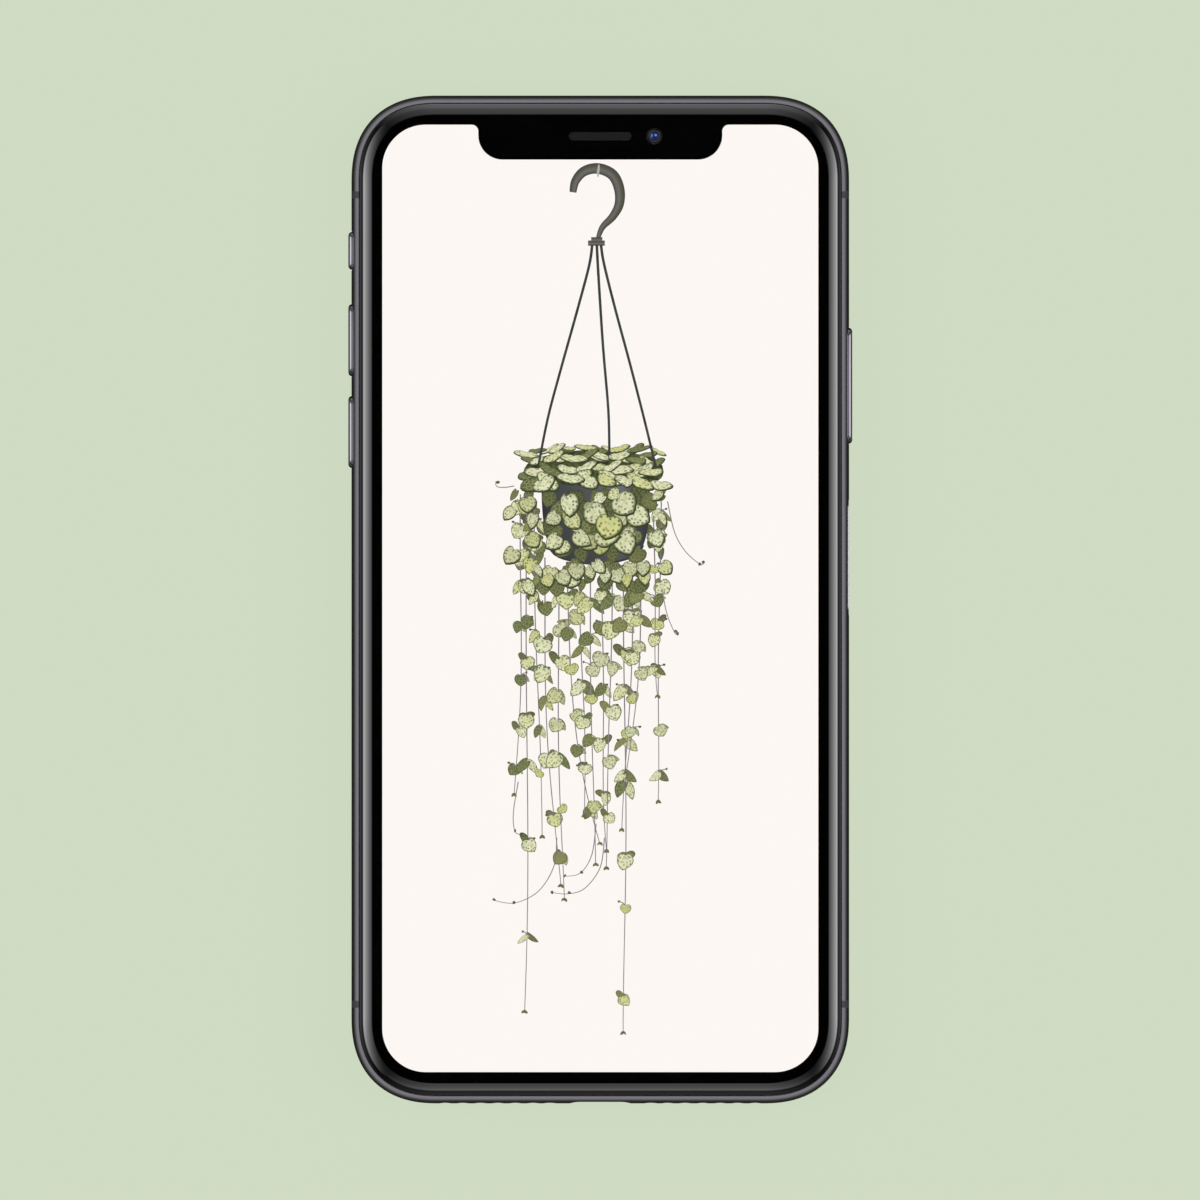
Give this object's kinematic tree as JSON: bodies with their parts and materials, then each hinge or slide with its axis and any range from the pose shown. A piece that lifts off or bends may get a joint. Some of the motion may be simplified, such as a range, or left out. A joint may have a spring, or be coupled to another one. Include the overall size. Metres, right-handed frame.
{
  "type": "smartphone",
  "caption": "Slim smartphone with rounded corners, a metal band, a notched display under curved glass, side keys, a ring switch, a SIM tray and a charging socket.",
  "frame": {"origin": "middle of the flat outer face of the back glass, on which the phone lies", "axes": "+X to the side button's side seen from the front, +Y from the charging socket to the earpiece, +Z out of the display"},
  "size_m": [0.072, 0.1438, 0.0079],
  "materials": {
    "band_metal": "satin grey anodised metal",
    "key_metal": "satin grey anodised metal",
    "antenna_plastic": "dark grey plastic, flush with the band",
    "cover_glass": "clear polished glass with a curved edge",
    "back_glass": "glass with a dark grey coating behind it",
    "seal": "black adhesive seal",
    "display_black": "deep black print",
    "lit_screen": "lit off-white screen",
    "earpiece_mesh": "fine dark mesh",
    "black_plastic": "moulded black plastic",
    "steel": "stamped steel sheet",
    "circuit_board": "solder mask",
    "card_plastic": "white card plastic",
    "battery_foil": "black laminated foil pouch",
    "copper": "copper winding",
    "flat_cable": "amber flat cable",
    "antenna_carrier": "moulded carrier",
    "lens_glass": "polished dark lens window",
    "flash_diffuser": "cloudy lens",
    "flash_phosphor": "yellow phosphor"
  },
  "bodies": {
    "body": {"frame": "band_metal", "antenna_line_upper_left": "antenna_plastic", "antenna_line_upper_right": "antenna_plastic", "antenna_line_lower_left": "antenna_plastic", "antenna_line_lower_right": "antenna_plastic", "cover_glass": "cover_glass", "back_glass": "back_glass", "display_gasket": "seal", "display_panel": "display_black", "black_mask": "display_black", "screen_layer": "lit_screen", "earpiece_mesh": "earpiece_mesh", "earpiece_speaker": "black_plastic", "front_camera": "black_plastic", "infrared_camera": "black_plastic", "dot_projector": "black_plastic", "sensor_bracket": "steel", "ring_switch_base": "black_plastic", "volume_switch_board": "circuit_board", "side_switch_board": "circuit_board", "sim_reader": "steel", "battery": "battery_foil", "battery_connector": "black_plastic", "wireless_coil": "copper", "logic_board": "circuit_board", "upper_shield": "steel", "lower_shield": "steel", "radio_shield": "steel", "display_flex": "flat_cable", "dock_flex": "flat_cable", "vibration_motor": "steel", "loudspeaker": "black_plastic", "lower_antenna": "antenna_carrier", "upper_antenna": "antenna_carrier", "microphone": "steel", "charging_socket": "steel", "charging_tongue": "black_plastic", "left_screw": "steel", "right_screw": "steel", "camera_ring": "key_metal", "main_lens_window": "lens_glass", "zoom_lens_window": "lens_glass", "main_camera": "black_plastic", "zoom_camera": "black_plastic", "flash_window": "flash_diffuser", "flash_led": "flash_phosphor"},
    "volume_up": {"volume_up_button": "key_metal"},
    "volume_down": {"volume_down_button": "key_metal"},
    "side_key": {"side_button": "key_metal"},
    "ring_slider": {"ring_switch": "key_metal"},
    "tray": {"sim_tray": "key_metal", "sim_card": "card_plastic"}
  },
  "joints": [
    {"name": "volume_up_press", "type": "slide", "parent": "body", "child": "volume_up", "axis": [1, 0, 0], "range_m": [0, 0.0003], "stiffness_N_per_m": 1000},
    {"name": "volume_down_press", "type": "slide", "parent": "body", "child": "volume_down", "axis": [1, 0, 0], "range_m": [0, 0.0003], "stiffness_N_per_m": 1000},
    {"name": "side_key_press", "type": "slide", "parent": "body", "child": "side_key", "axis": [-1, 0, 0], "range_m": [0, 0.0003], "stiffness_N_per_m": 1000},
    {"name": "ring_switch_slide", "type": "slide", "parent": "body", "child": "ring_slider", "axis": [0, 0, -1], "range_m": [0, 0.0009]},
    {"name": "sim_tray_slide", "type": "slide", "parent": "body", "child": "tray", "axis": [1, 0, 0], "range_m": [0, 0.0105]}
  ]
}
